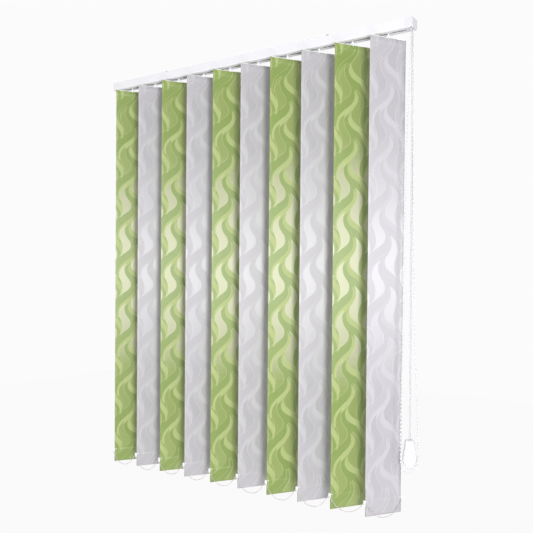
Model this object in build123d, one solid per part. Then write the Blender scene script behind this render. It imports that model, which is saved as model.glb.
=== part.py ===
from build123d import *
import math
import os

os.makedirs("parts", exist_ok=True)

# Driving dimensions in millimetres: X runs along the rail, -Y is the room side, +Z is up
VANES = 10
PITCH = 120.0
VANE_WIDTH = 127.0
VANE_DROP = 1468.0
TILT_AT_REST = 55.3
SLIM = 0.8

# Headrail section, length and height above the vanes
RAIL_WIDTH = 42.0
RAIL_HEIGHT = 30.5
RAIL_WALL = 1.5
RAIL_CORNER = 5.0
RAIL_SLOT = 10.0
RAIL_TOP = -1.5
RAIL_BOTTOM = RAIL_TOP - RAIL_HEIGHT
FLOOR = RAIL_BOTTOM + RAIL_WALL
RECESS_WIDTH, RECESS_DEPTH = 24.0, 3.0
LIP_OPENING, LIP_THICK = 20.0, 1.0
CEILING = RAIL_TOP - RECESS_DEPTH - RAIL_WALL
FIRST_HOOK = -538.5
LAST_HOOK = FIRST_HOOK + (VANES - 1) * PITCH
FAR_END = FIRST_HOOK - 85.0
NEAR_END = LAST_HOOK + 84.0
FAR_PLATE = 5.0
NEAR_CAP = 26.0
CAP_WALL = 2.0
SLEEVE_LENGTH, SLEEVE_GAP = 12.0, 0.2
VANE_TOP = RAIL_BOTTOM - 11.5
VANE_BOTTOM = VANE_TOP - VANE_DROP

# Mounting clips under the ceiling
CLIP_PLACES = (-342.0, 342.0)
CLIP_LENGTH = 26.0
SCREW_HOLE_R, SCREW_HEAD_R = 2.25, 4.5

# Tilt drive: a hexagonal rod carries one sliding worm for each carrier
ROD_Y, ROD_Z = -7.9, -19.5
ROD_R, ROD_PLAY = 2.75, 0.1
WORM_R, WORM_LENGTH = 3.5, 10.0
WHEEL_R, WHEEL_TOP, WHEEL_BOTTOM = 4.3, -17.0, -22.5
STEM_R = 2.5
RUNNING = 0.1

# Carriers that roll inside the rail
CARRIER_LENGTH, CARRIER_WIDTH = 18.0, 26.0
CARRIER_TOP, CARRIER_BOTTOM = -8.5, -29.5
ROLLER_R, ROLLER_WIDTH, ROLLER_X = 4.0, 2.7, 4.6
AXLE_R = 1.4

# Hook under each carrier and the hanger that it holds
BAR_TOP, BAR_BOTTOM = -36.0, -38.5
PRONG_WIDTH, PRONG_THICK = 4.4, 1.9
LEAF_WIDTH, LEAF_TIP = 7.6, VANE_TOP - 5.2
HANGER_WIDTH, HANGER_THICK = 118.0, 1.2
HANGER_TOP, HANGER_DROP = VANE_TOP + 1.2, 15.0
HANGER_EYE_R, HOOK_PIN_R = 1.7, 1.4

# Hem pockets of the vane, and the weight and edge clips in the lower one
TOP_HEM, BOTTOM_HEM = 18.0, 50.0
TOP_POCKET, TOP_HEM_THICK = 1.4, 2.8
BOTTOM_POCKET, BOTTOM_HEM_THICK = 2.8, 4.2
WEIGHT_WIDTH, WEIGHT_DROP, WEIGHT_THICK = 112.0, 40.0, 2.6
EDGE_CLIP_HEIGHT, EDGE_CLIP_THICK, EDGE_CLIP_REACH = 18.0, 5.0, 6.0
EDGE_CLIP_Z = VANE_BOTTOM + 42.0

# Bottom chain, which links the front edge clips
CHAIN_D = 3.2
SPAN_START_X, SPAN_START_Y = VANE_WIDTH / 2 + 6.3, 4.6
SPAN_END_X, SPAN_END_Y = VANE_WIDTH / 2 + 8.5, 1.2
TAIL_X, TAIL_Y = VANE_WIDTH / 2 + 3.3, 4.8
SPAN_SAGS = (39.5, 42.0, 38.0, 39.0, 38.0, 41.5, 42.0, 39.5, 32.5)
TAIL_SAG = 45.0

# Control chain over its sprocket at the near end
BEAD_D = 5.0
SPROCKET_X = NEAR_END - 5.5
SPROCKET_R, SPROCKET_WIDTH = 5.1, 5.0
BEAD_R = 8.0

# Draw cord, its pulleys and its weight
CORD_D = 2.0
CORD_Z = -11.5
CORD_NEAR_Y, CORD_FAR_Y = 6.0, 16.0
PULLEY_R = 4.0
TURN_R = 5.0
DROP_X = NEAR_END - 10.5
FAR_PULLEY_X = FAR_END + 20.0
WEIGHT_X, WEIGHT_Y = LAST_HOOK + 80.0, 9.0
WEIGHT_TOP = VANE_TOP - 1227.0
BOB_HEIGHT, BOB_WIDTH, BOB_DEPTH = 90.0, 40.5, 20.0
BOB_TURN = 33.0
BOB_PIN = 9.0


def block(x0, x1, y0, y1, z0, z1):
    """A box between two corners."""
    return Pos((x0 + x1) / 2, (y0 + y1) / 2, (z0 + z1) / 2) * Box(x1 - x0, y1 - y0, z1 - z0)


def along_x(radius, x0, x1, y, z):
    """A cylinder along X."""
    return Pos((x0 + x1) / 2, y, z) * Rot(0, 90, 0) * Cylinder(radius, x1 - x0)


def along_y(radius, x, y0, y1, z):
    """A cylinder along Y."""
    return Pos(x, (y0 + y1) / 2, z) * Rot(90, 0, 0) * Cylinder(radius, y1 - y0)


def along_z(radius, x, y, z0, z1):
    """A cylinder along Z."""
    return Pos(x, y, (z0 + z1) / 2) * Cylinder(radius, z1 - z0)


def rail_outline(x0, x1, inset=0.0):
    """The rail's outer form between two stations, shrunk by an inset, with its two round lower corners."""
    corner = max(RAIL_CORNER - inset, 1.0)
    solid = block(
        x0, x1,
        -RAIL_WIDTH / 2 + inset, RAIL_WIDTH / 2 - inset,
        RAIL_BOTTOM + inset, RAIL_TOP - inset,
    )
    lower = solid.edges().filter_by(Axis.X).group_by(Axis.Z)[0]
    return fillet(lower, corner)


def headrail():
    """Extruded channel: slotted below for the stems, with a lipped recess above for the clips."""
    x0, x1 = FAR_END + FAR_PLATE, NEAR_END - NEAR_CAP
    rail = rail_outline(x0, x1)
    inner = rail_outline(x0, x1, RAIL_WALL) & block(
        x0, x1, -RAIL_WIDTH, RAIL_WIDTH, RAIL_BOTTOM, CEILING
    )
    rail -= inner
    rail -= block(x0, x1, -RAIL_SLOT / 2, RAIL_SLOT / 2, RAIL_BOTTOM - 1, FLOOR + 1)
    rail -= block(
        x0, x1, -RECESS_WIDTH / 2, RECESS_WIDTH / 2, RAIL_TOP - RECESS_DEPTH, RAIL_TOP - LIP_THICK
    )
    rail -= block(x0, x1, -LIP_OPENING / 2, LIP_OPENING / 2, RAIL_TOP - RECESS_DEPTH, RAIL_TOP + 1)
    return rail


def sleeve(x0, x1):
    """Thin tongue of an end cap, a sliding fit inside the rail and open at both ends."""
    gap = RAIL_WALL + SLEEVE_GAP
    room = block(x0, x1, -RAIL_WIDTH, RAIL_WIDTH, RAIL_BOTTOM, CEILING - SLEEVE_GAP)
    outer = rail_outline(x0, x1, gap) & room
    top = CEILING - SLEEVE_GAP - 1.0
    inner = rail_outline(x0, x1, gap + 1.0) & block(x0, x1, -RAIL_WIDTH, RAIL_WIDTH, RAIL_BOTTOM, top)
    tongue = outer - inner
    return tongue - block(x0, x1, -RAIL_SLOT / 2, RAIL_SLOT / 2, RAIL_BOTTOM, FLOOR + 3)


def far_end_cap():
    """End plate with its tongue, the idle pulley of the draw cord on its post, and the rod's bearing."""
    face = FAR_END + FAR_PLATE
    plate = fillet(rail_outline(FAR_END, face).faces().sort_by(Axis.X)[0].edges(), 1.2)
    plate += sleeve(face, face + SLEEVE_LENGTH)
    plate += along_x(5.0, face, face + 5.0, ROD_Y, ROD_Z)
    plate -= along_x(ROD_R + ROD_PLAY, face, face + 6.0, ROD_Y, ROD_Z)
    middle = (CORD_NEAR_Y + CORD_FAR_Y) / 2
    shelf_top = CORD_Z - 2.2
    shelf = block(face, FAR_PULLEY_X + 4.5, middle - 4.5, middle + 4.5, shelf_top - 1.6, shelf_top)
    plate += shelf + along_z(1.5, FAR_PULLEY_X, middle, shelf_top, CORD_Z + 2.0)
    wheel = along_z(PULLEY_R + 0.9, FAR_PULLEY_X, middle, CORD_Z - 2.0, CORD_Z + 2.0)
    groove = Pos(FAR_PULLEY_X, middle, CORD_Z) * Torus(TURN_R, CORD_D / 2 + 0.15)
    wheel = wheel - groove - along_z(1.55, FAR_PULLEY_X, middle, CORD_Z - 3, CORD_Z + 3)
    return Compound([plate, wheel])


def control_end_cap():
    """Hollow cap round the sprocket and the two cord pulleys, with four holes below for their strands."""
    x0, x1 = NEAR_END - NEAR_CAP, NEAR_END
    shell = rail_outline(x0, x1)
    shell = fillet(shell.faces().sort_by(Axis.X)[-1].edges(), 1.5)
    shell -= rail_outline(x0 + CAP_WALL, x1 - CAP_WALL, CAP_WALL)
    window = rail_outline(x0, x0 + CAP_WALL, 3.0) & block(
        x0, x0 + CAP_WALL, -RAIL_WIDTH, RAIL_WIDTH, RAIL_BOTTOM, CEILING - 2.0
    )
    shell -= window
    shell += sleeve(x0 - SLEEVE_LENGTH, x0)
    for y in (ROD_Y - BEAD_R, ROD_Y + BEAD_R):
        shell -= along_z(BEAD_D / 2 + 0.4, SPROCKET_X, y, RAIL_BOTTOM - 1, RAIL_BOTTOM + 8)
    for y in (CORD_NEAR_Y, CORD_FAR_Y):
        shell -= along_z(CORD_D / 2 + 0.4, DROP_X, y, RAIL_BOTTOM - 1, RAIL_BOTTOM + 8)
    axle_x, axle_z = DROP_X - TURN_R, CORD_Z - TURN_R
    wall = RAIL_WIDTH / 2 - CAP_WALL
    shell += along_y(1.5, axle_x, 2.5, wall, axle_z)
    shell += block(axle_x - 2.5, axle_x + 2.5, 1.2, 2.6, axle_z - 2.5, RAIL_TOP - CAP_WALL)
    pieces = [shell]
    for y in (CORD_NEAR_Y, CORD_FAR_Y):
        wheel = along_y(PULLEY_R + 0.9, axle_x, y - 2.0, y + 2.0, axle_z)
        groove = Pos(axle_x, y, axle_z) * Rot(90, 0, 0) * Torus(TURN_R, CORD_D / 2 + 0.15)
        pieces.append(wheel - groove - along_y(1.55, axle_x, y - 3, y + 3, axle_z))
    return Compound(pieces)


def mounting_clip(x):
    """Ceiling clip: a plate with a screw hole, two legs hooked under the rail's lips and a tab in front."""
    x0, x1 = x - CLIP_LENGTH / 2, x + CLIP_LENGTH / 2
    clip = block(x0, x1, -14.0, 14.0, RAIL_TOP + 0.1, 0.0)
    clip += block(x0, x1, -LIP_OPENING / 2 + 0.3, LIP_OPENING / 2 - 0.3, RAIL_TOP - 2.8, 0.0)
    hooks = block(
        x0, x1, -RECESS_WIDTH / 2 + 0.5, RECESS_WIDTH / 2 - 0.5, RAIL_TOP - 2.8, RAIL_TOP - LIP_THICK - 0.1
    )
    clip += hooks
    clip += block(x - 3.5, x + 3.5, -RAIL_WIDTH / 2 - 1.6, -14.0, RAIL_TOP + 0.1, 0.0)
    clip += block(x - 3.5, x + 3.5, -RAIL_WIDTH / 2 - 1.6, -RAIL_WIDTH / 2 - 0.3, RAIL_TOP - 2.6, 0.0)
    clip -= along_z(SCREW_HOLE_R, x, 0, RAIL_TOP - 4, 1.0)
    clip -= along_z(SCREW_HEAD_R, x, 0, RAIL_TOP - 4, RAIL_TOP - 0.4)
    return clip


def hex_bar(circumradius, x0, x1):
    """A hexagonal bar along the rod's axis."""
    section = Plane.YZ.offset(x0) * Pos(ROD_Y, ROD_Z) * RegularPolygon(circumradius, 6)
    return extrude(section, x1 - x0)


def tilt_rod():
    """Hexagonal aluminium rod with a round journal in the far bearing."""
    start = FAR_END + FAR_PLATE + 6.0
    journal = along_x(ROD_R * 0.8, start - 5.5, start, ROD_Y, ROD_Z)
    return journal + hex_bar(ROD_R, start, SPROCKET_X + SPROCKET_WIDTH / 2)


def chain_sprocket():
    """Toothed wheel on the rod's end, with eight pockets for the beads."""
    x0, x1 = SPROCKET_X - SPROCKET_WIDTH / 2, SPROCKET_X + SPROCKET_WIDTH / 2
    wheel = along_x(SPROCKET_R, x0, x1, ROD_Y, ROD_Z)
    for i in range(8):
        a = math.radians(45 * i + 22.5)
        y, z = ROD_Y + SPROCKET_R * math.cos(a), ROD_Z + SPROCKET_R * math.sin(a)
        wheel -= Pos(SPROCKET_X, y, z) * Sphere(1.6)
    return wheel - hex_bar(ROD_R, x0 - 1, x1 + 1)


def carrier(x):
    """Housing with bores for the worm, the wheel and the cord, and its four rollers on stub axles."""
    half, side = CARRIER_LENGTH / 2, CARRIER_WIDTH / 2
    body = block(x - half, x + half, -side, side, CARRIER_BOTTOM, CARRIER_TOP)
    body = fillet(body.edges().filter_by(Axis.Z), 2.0)
    worm_half = WORM_LENGTH / 2 + 0.2
    body -= along_x(WORM_R + RUNNING, x - worm_half, x + worm_half, ROD_Y, ROD_Z)
    body -= along_x(ROD_R + 0.3, x - half - 1, x + half + 1, ROD_Y, ROD_Z)
    body -= along_z(WHEEL_R + RUNNING, x, 0, WHEEL_BOTTOM - RUNNING, WHEEL_TOP + RUNNING)
    body -= along_z(STEM_R + 0.05, x, 0, CARRIER_BOTTOM - 1, WHEEL_TOP)
    body -= along_x(CORD_D / 2 + 0.5, x - half - 1, x + half + 1, CORD_NEAR_Y, CORD_Z)
    axle_z = FLOOR + ROLLER_R + 0.05
    pieces = []
    for sx in (-1, 1):
        for sy in (-1, 1):
            y0, y1 = sorted((sy * (side - 1.0), sy * (side + 0.3 + ROLLER_WIDTH)))
            body += along_y(AXLE_R, x + sx * ROLLER_X, y0, y1, axle_z)
            y2, y3 = sorted((sy * (side + 0.25), sy * (side + 0.25 + ROLLER_WIDTH)))
            roller = along_y(ROLLER_R, x + sx * ROLLER_X, y2, y3, axle_z)
            pieces.append(roller - along_y(AXLE_R + 0.06, x + sx * ROLLER_X, y2 - 1, y3 + 1, axle_z))
    return Compound([body] + pieces)


def worm(x):
    """Worm sleeve that slides along the rod with its carrier."""
    half = WORM_LENGTH / 2
    sleeve_body = along_x(WORM_R, x - half, x + half, ROD_Y, ROD_Z)
    return sleeve_body - hex_bar(ROD_R + ROD_PLAY, x - half - 1, x + half + 1)


def turned(shape, x):
    """Turns a vane's own piece from the local frame to its angle and place under a hook."""
    return Pos(x, 0, 0) * Rot(0, 0, TILT_AT_REST) * shape


def stem():
    """Worm wheel, stem and hook: a crossbar with a leaf-shaped front prong, a short rear one and a pin."""
    top = along_z(WHEEL_R, 0, 0, WHEEL_BOTTOM, WHEEL_TOP)
    shaft = along_z(STEM_R, 0, 0, BAR_BOTTOM, WHEEL_BOTTOM)
    bar = block(-PRONG_WIDTH, PRONG_WIDTH, -4.0, 4.0, BAR_BOTTOM, BAR_TOP)
    bar = fillet(bar.edges().filter_by(Axis.Z), 1.5)
    leaf = Polyline(
        (-PRONG_WIDTH / 2, BAR_TOP), (-LEAF_WIDTH / 2, VANE_TOP + 1.5), (0, LEAF_TIP),
        (LEAF_WIDTH / 2, VANE_TOP + 1.5), (PRONG_WIDTH / 2, BAR_TOP), close=True,
    )
    front = extrude(Plane.XZ.offset(4.0 - PRONG_THICK) * make_face(leaf), PRONG_THICK)
    sides = front.edges().filter_by(Axis.Y).group_by(Axis.Z)
    front = fillet(sides[1], 2.4)
    tips = front.edges().filter_by(Axis.Y).group_by(Axis.Z)[0]
    front = fillet(tips, 0.9)
    rear = block(-PRONG_WIDTH / 2, PRONG_WIDTH / 2, 4.0 - PRONG_THICK, 4.0, VANE_TOP + 1.0, BAR_BOTTOM)
    pin = along_y(HOOK_PIN_R, 0, -4.0 + PRONG_THICK, 4.0 - PRONG_THICK, HANGER_TOP + 1.0)
    return top + shaft + bar + front + rear + pin


def vane():
    """Fabric slat: one sheet with an open sleeve sewn at the top and a deeper one at the bottom."""
    half = VANE_WIDTH / 2
    sheet = block(-half, half, -SLIM / 2, SLIM / 2, VANE_BOTTOM + BOTTOM_HEM, VANE_TOP - TOP_HEM)
    upper = block(-half, half, -TOP_HEM_THICK / 2, TOP_HEM_THICK / 2, VANE_TOP - TOP_HEM, VANE_TOP)
    upper -= block(
        -half, half, -TOP_POCKET / 2, TOP_POCKET / 2, VANE_TOP - TOP_HEM + 1.5, VANE_TOP
    )
    lower = block(
        -half, half, -BOTTOM_HEM_THICK / 2, BOTTOM_HEM_THICK / 2, VANE_BOTTOM, VANE_BOTTOM + BOTTOM_HEM
    )
    lower -= block(
        -half, half, -BOTTOM_POCKET / 2, BOTTOM_POCKET / 2, VANE_BOTTOM + 0.8, VANE_BOTTOM + BOTTOM_HEM - 1.5
    )
    return sheet + upper + lower


def vane_fittings():
    """Hanger plate in the top hem, weight in the bottom hem, and one chain clip on each edge."""
    half_hanger = HANGER_WIDTH / 2
    hanger = block(
        -half_hanger, half_hanger, -HANGER_THICK / 2, HANGER_THICK / 2, HANGER_TOP - HANGER_DROP, HANGER_TOP
    )
    hanger += block(-6.0, 6.0, -HANGER_THICK / 2, HANGER_THICK / 2, HANGER_TOP, HANGER_TOP + 3.4)
    hanger -= along_y(HANGER_EYE_R, 0, -2, 2, HANGER_TOP + 1.0)
    low = VANE_BOTTOM + 4.0
    pieces = [hanger, block(
        -WEIGHT_WIDTH / 2, WEIGHT_WIDTH / 2, -WEIGHT_THICK / 2, WEIGHT_THICK / 2, low, low + WEIGHT_DROP
    )]
    inner, edge = WEIGHT_WIDTH / 2 + 0.2, VANE_WIDTH / 2 + 0.3
    for side in (-1, 1):
        x0, x1 = sorted((side * edge, side * (edge + EDGE_CLIP_REACH)))
        grip = block(
            x0, x1, -EDGE_CLIP_THICK / 2, EDGE_CLIP_THICK / 2,
            EDGE_CLIP_Z - EDGE_CLIP_HEIGHT / 2, EDGE_CLIP_Z + EDGE_CLIP_HEIGHT / 2,
        )
        grip = fillet(grip.edges().filter_by(Axis.Y), 2.0)
        x2, x3 = sorted((side * inner, side * (edge + 0.5)))
        tongue = block(
            x2, x3, -WEIGHT_THICK / 2, WEIGHT_THICK / 2, EDGE_CLIP_Z - 6.0, EDGE_CLIP_Z + 6.0
        )
        pieces.append(grip + tongue)
    return Compound(pieces)


def corners(route):
    """A route without the points that lie on a straight run."""
    kept = [route[0]]
    for before, point, after in zip(route, route[1:], route[2:]):
        bend = (Vector(*point) - Vector(*before)).get_angle(Vector(*after) - Vector(*point))
        if bend > 0.01:
            kept.append(point)
    return kept + [route[-1]]


def tube(route, diameter, tight=None, name=""):
    """A round tube along straight runs and tangent arcs, with radii named by corner where they are tight."""
    points = corners(route)
    radii = []
    for i in range(1, len(points) - 1):
        before = Vector(*points[i]) - Vector(*points[i - 1])
        after = Vector(*points[i + 1]) - Vector(*points[i])
        half_turn = math.radians(before.get_angle(after) / 2)
        radius = 0.45 * min(before.length, after.length) / math.tan(half_turn)
        radii.append((tight or {}).get(i, radius))
    path = FilletPolyline(*points, radius=radii)
    start = Plane(origin=path @ 0, z_dir=path % 0)
    solid = sweep(start * Circle(diameter / 2), path=path)
    ideal = math.pi * diameter ** 2 / 4 * path.length
    print(f"{name}: {path.length:.0f} mm, volume ratio {solid.volume / ideal:.3f}, "
          f"radii {[round(r) for r in radii]}")
    return solid


def clip_point(x, u, v):
    """Where the bottom chain meets an edge clip, from its place across and ahead of the vane."""
    a = math.radians(TILT_AT_REST)
    return x + u * math.cos(a) - v * math.sin(a), u * math.sin(a) + v * math.cos(a)


def chain_span(start, end, forward, sag):
    """Points of one hanging span of the bottom chain between two clips, bowed out in front of the vane."""
    points = []
    form = ((0, 0, 0), (0.14, 0.62, 0.7), (0.36, 1.06, 1), (0.64, 1.06, 1), (0.86, 0.62, 0.7), (1, 0, 0))
    for share, fall, bow in form:
        x = start[0] + share * (end[0] - start[0]) + bow * forward[0]
        y = start[1] + share * (end[1] - start[1]) + bow * forward[1]
        points.append((x, y, EDGE_CLIP_Z - fall * sag))
    return points


def bottom_chain():
    """Nine spans from front clip to front clip, and the tail across the last vane to its own rear clip."""
    hooks = [FIRST_HOOK + i * PITCH for i in range(VANES)]
    spans = []
    for a, b, sag in zip(hooks, hooks[1:], SPAN_SAGS):
        start = clip_point(a, -SPAN_START_X, -SPAN_START_Y)
        end = clip_point(b, -SPAN_END_X, -SPAN_END_Y)
        spans.append(chain_span(start, end, (0.0, -2.0), sag))
    a = math.radians(TILT_AT_REST)
    ahead = (5.0 * math.sin(a), -5.0 * math.cos(a))
    start, end = clip_point(LAST_HOOK, -TAIL_X, -TAIL_Y), clip_point(LAST_HOOK, TAIL_X, -TAIL_Y)
    spans.append(chain_span(start, end, ahead, TAIL_SAG))
    return Compound([tube(s, CHAIN_D, name=f"bottom chain {i + 1}") for i, s in enumerate(spans)])


def bead_chain():
    """Control chain: over the sprocket, down the front, round below the weight and up the rear."""
    x, z = SPROCKET_X, ROD_Z + BEAD_R
    front, rear = ROD_Y - BEAD_R, ROD_Y + BEAD_R
    h, v = LAST_HOOK, VANE_TOP
    points = [
        (x, ROD_Y - 0.3, z),
        (x, front, z),
        (x, front, z - 16),
        (x, front, v - 60),
        (h + 70, -24, v - 350),
        (h + 69, -27, v - 800),
        (h + 66.6, -29.6, v - 1070),
        (h + 65.8, -30.6, v - 1195),
        (h + 65.6, -31, v - 1256),
        (h + 67, -30, v - 1298),
        (h + 76, -21, v - 1320),
        (h + 93, -4.5, v - 1325),
        (h + 105.5, 7, v - 1302),
        (h + 107, 8.8, v - 1262),
        (h + 104.5, 9.6, v - 1190),
        (h + 97, 11.4, v - 1050),
        (h + 86, 12, v - 800),
        (h + 80, 8, v - 350),
        (x, rear, v - 60),
        (x, rear, z - 16),
        (x, rear, z),
        (x, ROD_Y + 0.3, z),
    ]
    last = len(corners(points)) - 2
    tight = {1: BEAD_R - 0.5, last: BEAD_R - 0.5}
    return tube(points, BEAD_D, tight, "bead chain")


def draw_cord():
    """Draw cord: from the lead carrier round the idle pulley, along the rail, down to its weight and up."""
    z, x = CORD_Z, DROP_X
    lead = FIRST_HOOK
    near, far = CORD_NEAR_Y, CORD_FAR_Y
    turn_x = FAR_PULLEY_X - TURN_R
    wx, wy, wz = WEIGHT_X, WEIGHT_Y, WEIGHT_TOP - BOB_PIN - TURN_R
    points = [
        (lead - 2, near, z),
        (turn_x + 12, near, z),
        (turn_x, near, z),
        (turn_x, far, z),
        (turn_x + 12, far, z),
        (x - 12, far, z),
        (x, far, z),
        (x, far, z - 12),
        (x, far, z - 60),
        (wx, wy + TURN_R, WEIGHT_TOP + 30),
        (wx, wy + TURN_R, wz + 12),
        (wx, wy + TURN_R, wz),
        (wx, wy - TURN_R, wz),
        (wx, wy - TURN_R, wz + 12),
        (wx, wy - TURN_R, WEIGHT_TOP + 30),
        (x, near, z - 60),
        (x, near, z - 12),
        (x, near, z),
        (x - 12, near, z),
        (lead + 2, near, z),
    ]
    small = TURN_R - 0.05
    tight = {1: small, 2: small, 3: TURN_R, 6: small, 7: small, 10: TURN_R}
    return tube(points, CORD_D, tight, "draw cord")


def cord_weight():
    """Flat pear-shaped bob, hollow at the top where the cord turns round a pin."""
    top, bottom = WEIGHT_TOP, WEIGHT_TOP - BOB_HEIGHT
    half = BOB_WIDTH / 2
    outline = Polyline((0, top), (half * 0.53, top), (half * 0.72, top - 7))
    side = Spline((half * 0.72, top - 7), (half, top - 52), (half * 0.78, bottom + 12), (0, bottom))
    right = outline.edges() + side.edges()
    left = mirror(Curve() + right, Plane.YZ).edges()
    face = make_face(right + left)
    bob = extrude(Plane.XZ * face, BOB_DEPTH / 2, both=True)
    rim = bob.faces().filter_by(Axis.Y).edges()
    bob = chamfer(rim, 3.0)
    room = 2 * TURN_R + CORD_D + 2.0
    bob = Rot(0, 0, BOB_TURN) * bob
    hollow = block(-3.0, 3.0, -room / 2, room / 2, top - BOB_PIN - room / 2, top + 1)
    pin = along_x(TURN_R - CORD_D / 2 - 0.1, -3.5, 3.5, 0, top - BOB_PIN)
    return Pos(WEIGHT_X, WEIGHT_Y, 0) * (bob - hollow + pin)


export_step(headrail(), "parts/headrail.step")
export_step(far_end_cap(), "parts/far_end_cap.step")
export_step(control_end_cap(), "parts/control_end_cap.step")
export_step(Compound([mounting_clip(x) for x in CLIP_PLACES]), "parts/mounting_clips.step")
export_step(tilt_rod(), "parts/tilt_rod.step")
export_step(chain_sprocket(), "parts/chain_sprocket.step")
export_step(bottom_chain(), "parts/bottom_chain.step")
export_step(bead_chain(), "parts/bead_chain.step")
export_step(draw_cord(), "parts/draw_cord.step")
export_step(cord_weight(), "parts/cord_weight.step")

STEM, VANE, FITTINGS = stem(), vane(), vane_fittings()
for i in range(VANES):
    hook = FIRST_HOOK + i * PITCH
    number = f"{i + 1:02d}"
    export_step(carrier(hook), f"parts/carrier_{number}.step")
    export_step(worm(hook), f"parts/worm_{number}.step")
    export_step(turned(STEM, hook), f"parts/stem_{number}.step")
    export_step(turned(VANE, hook), f"parts/vane_{number}.step")
    export_step(turned(FITTINGS, hook), f"parts/vane_fittings_{number}.step")
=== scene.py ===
import logging
import math
from dataclasses import dataclass, field
from enum import Enum

import bmesh
import bpy
from mathutils import Matrix, Vector


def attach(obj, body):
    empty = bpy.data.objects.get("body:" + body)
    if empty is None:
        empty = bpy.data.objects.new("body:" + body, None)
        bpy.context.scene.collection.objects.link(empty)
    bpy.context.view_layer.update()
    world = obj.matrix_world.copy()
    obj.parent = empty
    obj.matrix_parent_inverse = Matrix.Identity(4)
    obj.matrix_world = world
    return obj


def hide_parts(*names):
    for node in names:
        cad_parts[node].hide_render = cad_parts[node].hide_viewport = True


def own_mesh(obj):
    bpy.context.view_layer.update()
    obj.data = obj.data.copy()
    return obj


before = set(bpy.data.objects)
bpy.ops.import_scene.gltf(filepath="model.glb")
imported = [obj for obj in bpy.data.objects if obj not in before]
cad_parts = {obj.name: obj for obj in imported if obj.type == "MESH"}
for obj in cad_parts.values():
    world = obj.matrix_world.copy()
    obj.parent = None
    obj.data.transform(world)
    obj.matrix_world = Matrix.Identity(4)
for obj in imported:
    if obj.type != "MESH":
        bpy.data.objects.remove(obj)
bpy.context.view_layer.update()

LOG = logging.getLogger("vertical_blind")

MM = 0.001
VANES = 10
PITCH = 120.0
FIRST_HOOK = -538.5
LAST_HOOK = FIRST_HOOK + (VANES - 1) * PITCH
VANE_TOP = -43.5
VANE_WIDTH = 127.0
VANE_DROP = 1468.0
TILT_AT_REST = 55.3
NEAR_END = 625.5


def hook_x(number: int) -> float:
    """Place along the rail of one vane's hook, in millimetres.

    Args:
        number: The vane's number, 1 at the far end.

    Returns:
        The hook's X.
    """
    return FIRST_HOOK + (number - 1) * PITCH


def vane_to_frame(number: int) -> Matrix:
    """Turns a vane's own frame, in metres, to its place under its hook.

    Args:
        number: The vane's number, 1 at the far end.

    Returns:
        The matrix from the vane's frame to the row frame.
    """
    place = Matrix.Translation((hook_x(number) * MM, 0.0, 0.0))
    return place @ Matrix.Rotation(math.radians(TILT_AT_REST), 4, "Z")


def linear(colour: str, alpha: float = 1.0) -> tuple[float, float, float, float]:
    """Turns an sRGB hex colour to linear light.

    Args:
        colour: Six hex digits.
        alpha: The fourth value.

    Returns:
        Red, green, blue and alpha.
    """
    parts = [int(colour[i:i + 2], 16) / 255 for i in (0, 2, 4)]
    red, green, blue = (
        c / 12.92 if c <= 0.04045 else ((c + 0.055) / 1.055) ** 2.4 for c in parts
    )
    return red, green, blue, alpha


def add_node(
    tree: bpy.types.NodeTree,
    kind: str,
    settings: dict | None = None,
    inputs: dict | None = None,
) -> bpy.types.Node:
    """Adds a node with its settings, and with its inputs set or linked.

    Args:
        tree: The node tree.
        kind: The node's type, without "ShaderNode".
        settings: Values for the node's own properties.
        inputs: For each input, by name or index, a value or the socket that feeds it.

    Returns:
        The new node.
    """
    node = tree.nodes.new("ShaderNode" + kind)
    for name, value in (settings or {}).items():
        setattr(node, name, value)
    for name, value in (inputs or {}).items():
        if isinstance(value, bpy.types.NodeSocket):
            tree.links.new(value, node.inputs[name])
        else:
            node.inputs[name].default_value = value
    return node


def new_material(name: str) -> tuple[bpy.types.Material, bpy.types.NodeTree]:
    """Makes an empty node material.

    Args:
        name: The material's name.

    Returns:
        The material and its node tree.
    """
    material = bpy.data.materials.new(name)
    material.use_nodes = True
    material.node_tree.nodes.clear()
    return material, material.node_tree


def calculate(
    tree: bpy.types.NodeTree, operation: str, first: object, second: object = 0.0, third: object = 0.0
) -> bpy.types.NodeSocket:
    """One sum of the pattern.

    Args:
        tree: The node tree.
        operation: The Math node's operation.
        first: A socket or a number.
        second: A socket or a number.
        third: A socket or a number.

    Returns:
        The result's socket.
    """
    inputs = {0: first, 1: second, 2: third}
    return add_node(tree, "Math", {"operation": operation}, inputs).outputs[0]


def finish_shader(
    material: bpy.types.Material, colour: object, roughness: object, normal: object = None, **constants: object
) -> bpy.types.Material:
    """Ends a material with its one Principled shader.

    Args:
        material: The material.
        colour: The base colour, a value or a socket.
        roughness: The roughness, a value or a socket.
        normal: The bump's socket, if there is one.
        constants: Other inputs of the shader, by name with spaces as underscores.

    Returns:
        The material.
    """
    tree = material.node_tree
    inputs: dict = {"Base Color": colour, "Roughness": roughness}
    if normal is not None:
        inputs["Normal"] = normal
    for name, value in constants.items():
        inputs[name.replace("_", " ")] = value
    shader = add_node(tree, "BsdfPrincipled", {}, inputs)
    add_node(tree, "OutputMaterial", {}, {"Surface": shader.outputs[0]})
    return material


class Weave(Enum):
    """The two cloths, which alternate along the blind."""

    GREEN = "green"
    GREY = "grey"


Curve = tuple[tuple[float, float], ...]


@dataclass(frozen=True)
class Strip:
    """One figure of the weave: where it starts, and its left and right edge as it goes down, in millimetres."""

    start: float
    shift: float
    left: Curve
    right: Curve


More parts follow.
